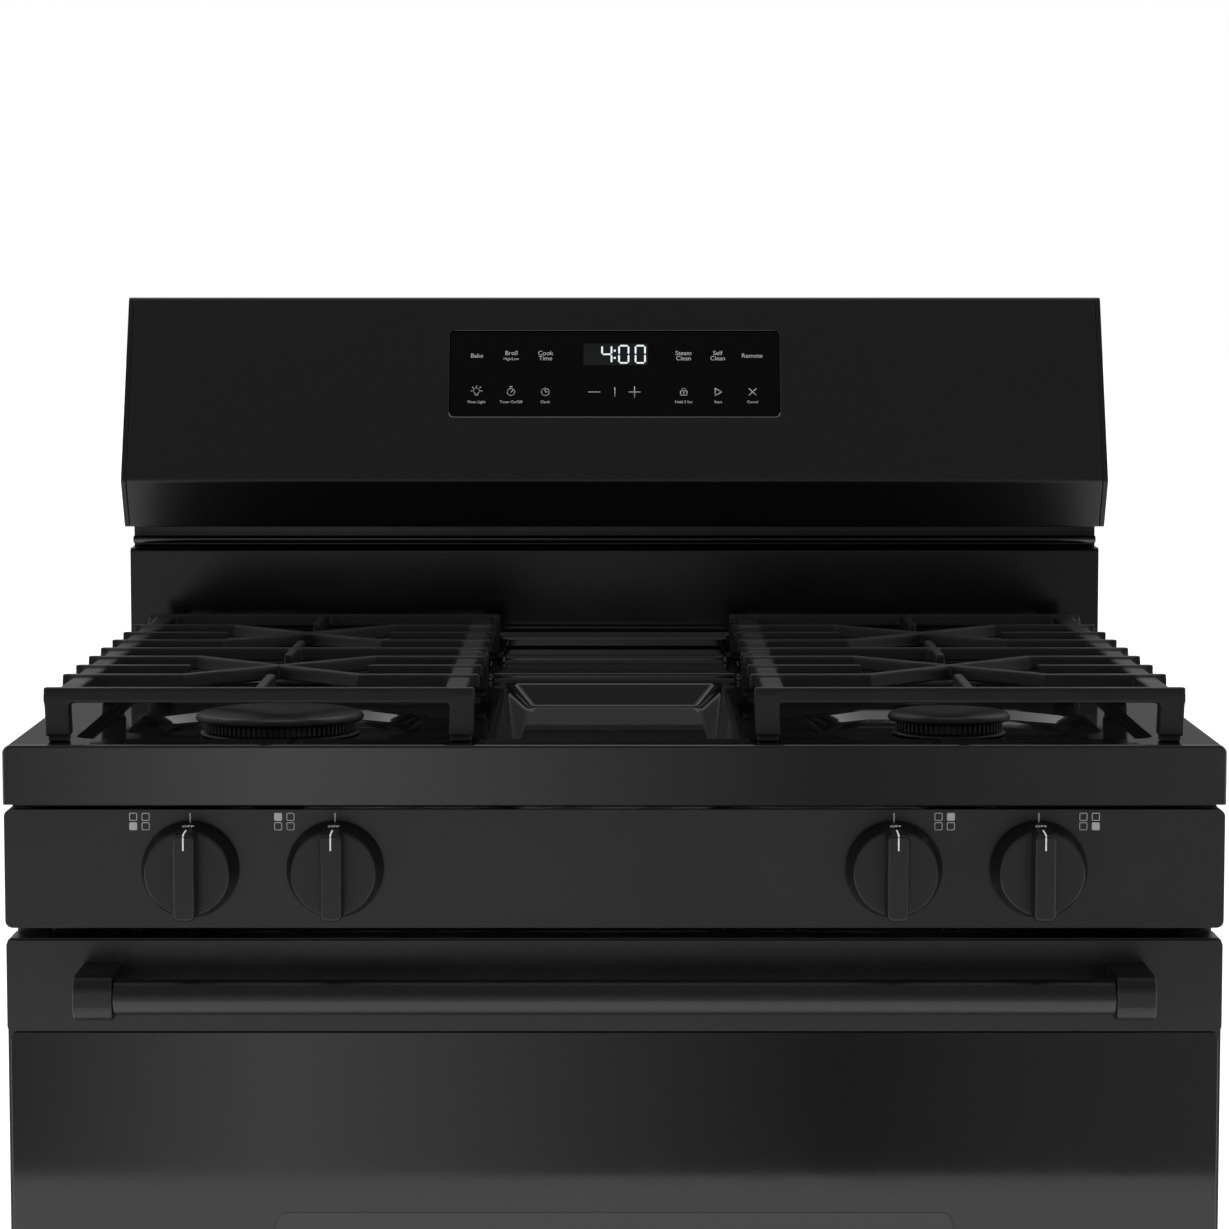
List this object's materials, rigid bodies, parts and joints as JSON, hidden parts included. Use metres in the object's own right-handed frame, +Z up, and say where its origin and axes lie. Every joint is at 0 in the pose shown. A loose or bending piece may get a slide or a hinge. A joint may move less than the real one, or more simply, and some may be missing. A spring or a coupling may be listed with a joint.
{
  "type": "freestanding gas range",
  "caption": "Freestanding gas range: burners under cast-iron grates, front knobs, a sloping rear console with touch controls, a drop-down oven door and a storage drawer.",
  "frame": {"origin": "middle of the bounding box, on the floor under the levelling feet", "axes": "+X to the right as seen from the front, +Y towards the wall behind, +Z up"},
  "size_m": [0.759, 0.709, 1.196],
  "materials": {
    "cooktop_enamel": "gloss black porcelain enamel",
    "body_paint": "gloss black paint on steel",
    "oven_enamel": "dark blue-grey porcelain enamel with pale specks",
    "cast_iron": "matte black enamel on cast iron",
    "gloss_plastic": "black moulded plastic, satin to gloss",
    "black_plastic": "black moulded plastic",
    "black_glass": "black-backed tempered glass",
    "clear_glass": "clear tempered glass",
    "burner_aluminium": "cast aluminium, dulled by heat",
    "chrome_wire": "nickel-chrome plated wire",
    "galvanised_steel": "zinc-coated sheet",
    "valve_brass": "machined brass",
    "gasket_fibre": "braided glass-fibre cord"
  },
  "bodies": {
    "range_body": {"base_frame": "galvanised_steel", "side_panel_left": "body_paint", "side_panel_right": "body_paint", "rear_panel": "galvanised_steel", "front_frame": "oven_enamel", "gas_inlet": "valve_brass", "power_inlet": "black_plastic", "oven_cavity": "oven_enamel", "door_gasket": "gasket_fibre", "oven_floor": "oven_enamel", "bake_burner": "galvanised_steel", "broil_burner": "galvanised_steel", "rack_guide_left": "chrome_wire", "rack_guide_right": "chrome_wire", "oven_lamp_lens": "clear_glass", "cooktop": "cooktop_enamel", "control_panel": "body_paint", "gas_manifold": "burner_aluminium", "riser_panel": "body_paint", "vent_trim": "body_paint", "console_shell": "body_paint", "console_end_left": "gloss_plastic", "console_end_right": "gloss_plastic", "console_rear_cover": "galvanised_steel", "control_glass": "black_glass", "door_hinge_left": "galvanised_steel", "door_hinge_right": "galvanised_steel", "foot_front_left": "black_plastic", "foot_front_right": "black_plastic", "foot_rear_left": "black_plastic", "foot_rear_right": "black_plastic", "burner_head_front_left": "burner_aluminium", "burner_head_front_right": "burner_aluminium", "burner_head_rear_left": "burner_aluminium", "burner_head_rear_right": "burner_aluminium"},
    "oven_door": {"door_outer_panel": "body_paint", "door_glass": "black_glass", "door_inner_panel": "oven_enamel", "door_inner_glass": "clear_glass", "door_handle": "gloss_plastic", "handle_post_left": "gloss_plastic", "handle_post_right": "gloss_plastic"},
    "storage_drawer": {"drawer_front": "body_paint", "drawer_box": "galvanised_steel"},
    "lower_rack": {"oven_rack_lower": "chrome_wire"},
    "upper_rack": {"oven_rack_upper": "chrome_wire"},
    "left_grate": {"grate_left": "cast_iron"},
    "right_grate": {"grate_right": "cast_iron"},
    "cap_front_left": {"burner_cap_front_left": "cast_iron"},
    "cap_front_right": {"burner_cap_front_right": "cast_iron"},
    "cap_rear_left": {"burner_cap_rear_left": "cast_iron"},
    "cap_rear_right": {"burner_cap_rear_right": "cast_iron"},
    "stem_1": {"valve_stem_1": "valve_brass"},
    "dial_1": {"knob_1": "gloss_plastic"},
    "stem_2": {"valve_stem_2": "valve_brass"},
    "dial_2": {"knob_2": "gloss_plastic"},
    "stem_3": {"valve_stem_3": "valve_brass"},
    "dial_3": {"knob_3": "gloss_plastic"},
    "stem_4": {"valve_stem_4": "valve_brass"},
    "dial_4": {"knob_4": "gloss_plastic"}
  },
  "joints": [
    {"name": "door_hinge", "type": "hinge", "parent": "range_body", "child": "oven_door", "pos_m": [0, -0.2755, 0.266], "axis": [1, 0, 0], "range_deg": [0, 90]},
    {"name": "drawer_slide", "type": "slide", "parent": "range_body", "child": "storage_drawer", "axis": [0, -1, 0], "range_m": [0, 0.4]},
    {"name": "lower_rack_slide", "type": "slide", "parent": "range_body", "child": "lower_rack", "axis": [0, -1, 0], "range_m": [0, 0.04]},
    {"name": "upper_rack_slide", "type": "slide", "parent": "range_body", "child": "upper_rack", "axis": [0, -1, 0], "range_m": [0, 0.04]},
    {"name": "left_grate_lift", "type": "slide", "parent": "range_body", "child": "left_grate", "axis": [0, 0, 1], "range_m": [0, 0.06]},
    {"name": "right_grate_lift", "type": "slide", "parent": "range_body", "child": "right_grate", "axis": [0, 0, 1], "range_m": [0, 0.06]},
    {"name": "cap_lift_front_left", "type": "slide", "parent": "range_body", "child": "cap_front_left", "axis": [0, 0, 1], "range_m": [0, 0.01]},
    {"name": "cap_lift_front_right", "type": "slide", "parent": "range_body", "child": "cap_front_right", "axis": [0, 0, 1], "range_m": [0, 0.01]},
    {"name": "cap_lift_rear_left", "type": "slide", "parent": "range_body", "child": "cap_rear_left", "axis": [0, 0, 1], "range_m": [0, 0.01]},
    {"name": "cap_lift_rear_right", "type": "slide", "parent": "range_body", "child": "cap_rear_right", "axis": [0, 0, 1], "range_m": [0, 0.01]},
    {"name": "knob_push_1", "type": "slide", "parent": "range_body", "child": "stem_1", "axis": [0, 1, 0], "range_m": [0, 0.003], "stiffness_N_per_m": 2500},
    {"name": "knob_turn_1", "type": "hinge", "parent": "stem_1", "child": "dial_1", "pos_m": [-0.2633, -0.3043, 0.8435], "axis": [0, -1, 0], "range_deg": [0, 270]},
    {"name": "knob_push_2", "type": "slide", "parent": "range_body", "child": "stem_2", "axis": [0, 1, 0], "range_m": [0, 0.003], "stiffness_N_per_m": 2500},
    {"name": "knob_turn_2", "type": "hinge", "parent": "stem_2", "child": "dial_2", "pos_m": [-0.1734, -0.3043, 0.8435], "axis": [0, -1, 0], "range_deg": [0, 270]},
    {"name": "knob_push_3", "type": "slide", "parent": "range_body", "child": "stem_3", "axis": [0, 1, 0], "range_m": [0, 0.003], "stiffness_N_per_m": 2500},
    {"name": "knob_turn_3", "type": "hinge", "parent": "stem_3", "child": "dial_3", "pos_m": [0.1734, -0.3043, 0.8435], "axis": [0, -1, 0], "range_deg": [0, 270]},
    {"name": "knob_push_4", "type": "slide", "parent": "range_body", "child": "stem_4", "axis": [0, 1, 0], "range_m": [0, 0.003], "stiffness_N_per_m": 2500},
    {"name": "knob_turn_4", "type": "hinge", "parent": "stem_4", "child": "dial_4", "pos_m": [0.2633, -0.3043, 0.8435], "axis": [0, -1, 0], "range_deg": [0, 270]}
  ]
}
